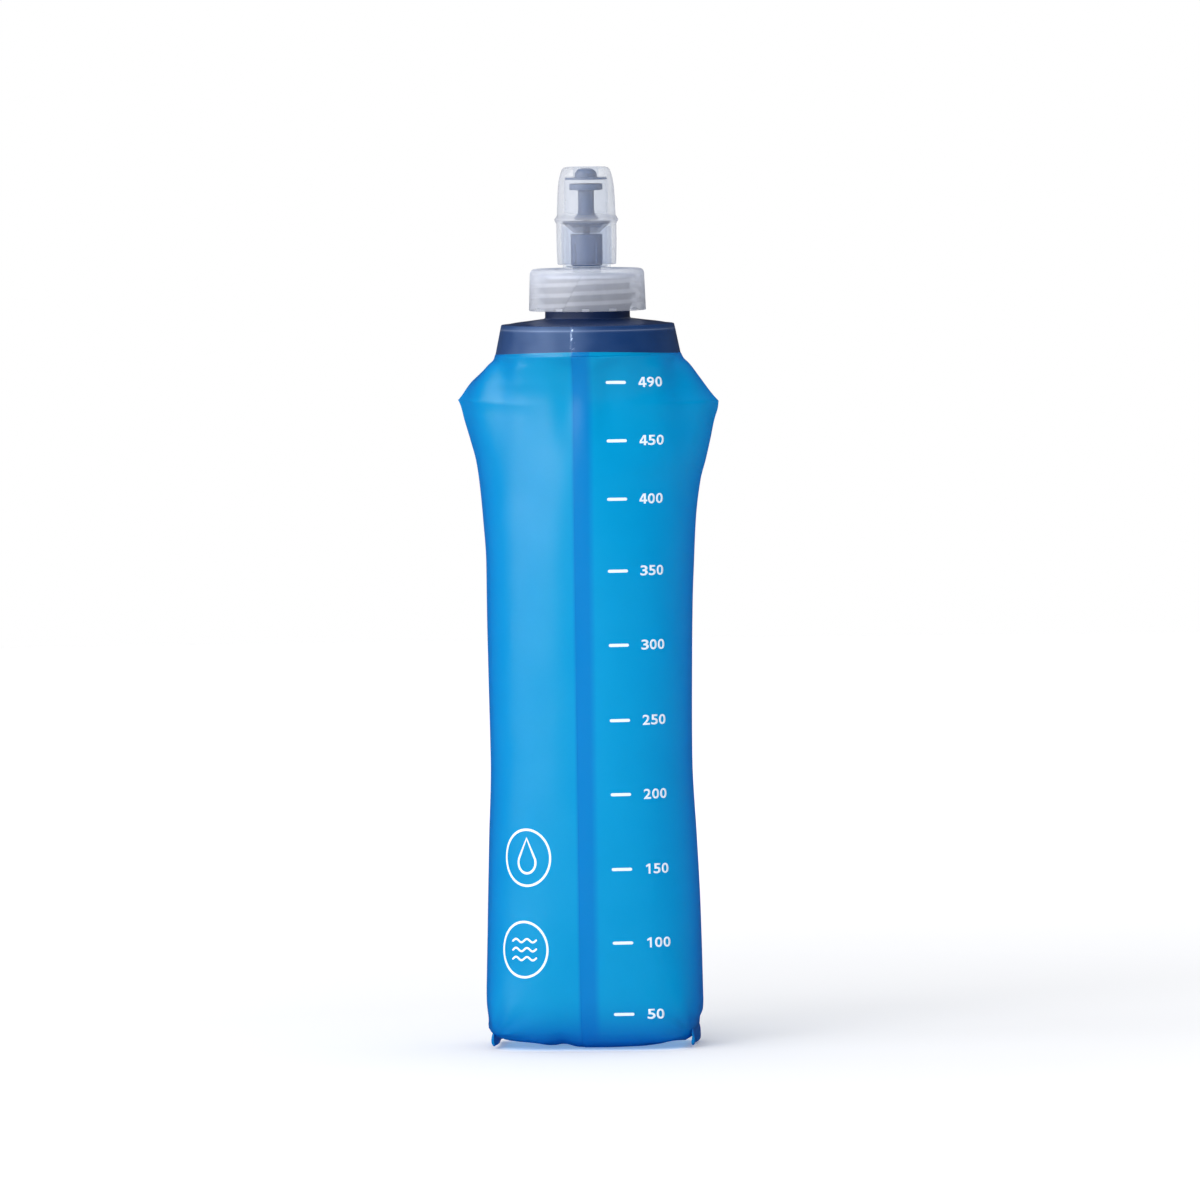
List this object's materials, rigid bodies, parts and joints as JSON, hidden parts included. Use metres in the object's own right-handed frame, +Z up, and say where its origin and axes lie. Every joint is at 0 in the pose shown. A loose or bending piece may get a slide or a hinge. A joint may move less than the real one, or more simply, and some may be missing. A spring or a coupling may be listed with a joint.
{
  "type": "folding water bottle",
  "caption": "Soft film bottle with a welded base, a moulded screw neck and a frosted cap whose push-pull mouthpiece slides over a fixed valve pin.",
  "frame": {"origin": "middle of the base, on the surface that the bottle stands on", "axes": "+Z up along the neck's axis, +X across the wide front, -Y out of the front that carries the lap weld and the scale"},
  "size_m": [0.0756, 0.0536, 0.255],
  "materials": {
    "film": "satin translucent blue thermoplastic polyurethane film",
    "neck": "satin navy injection moulding",
    "cap": "frosted translucent polypropylene",
    "mouthpiece": "clear to frosted translucent moulding, satin",
    "valve": "matt slate-blue moulding",
    "seal": "soft slate-blue seal rubber",
    "gasket": "plain white gasket rubber"
  },
  "bodies": {
    "bottle": {"body_film": "film"},
    "neck": {"neck_collar": "neck"},
    "cap_lift": {"cap_gasket": "gasket"},
    "cap": {"screw_cap": "cap", "valve_base": "valve", "valve_pin": "valve", "lip_seal": "seal"},
    "spout": {"mouthpiece": "mouthpiece", "spout_seal": "seal"}
  },
  "joints": [
    {"name": "body_collapse", "type": "slide", "parent": "bottle", "child": "neck", "axis": [0, 0, 1], "range_m": [-0.12, 0], "deforming": ["body_film"]},
    {"name": "cap_rise", "type": "slide", "parent": "neck", "child": "cap_lift", "axis": [0, 0, 1], "range_m": [0, 0.0095]},
    {"name": "cap_turn", "type": "hinge", "parent": "cap_lift", "child": "cap", "pos_m": [0, 0, 0.22], "axis": [0, 0, 1], "range_deg": [0, 1080]},
    {"name": "mouthpiece_pull", "type": "slide", "parent": "cap", "child": "spout", "axis": [0, 0, 1], "range_m": [-0.001, 0.004]}
  ],
  "couplings": [
    {"joint": "cap_rise", "follows": "cap_turn", "m_per_rad": 0.00047746}
  ]
}
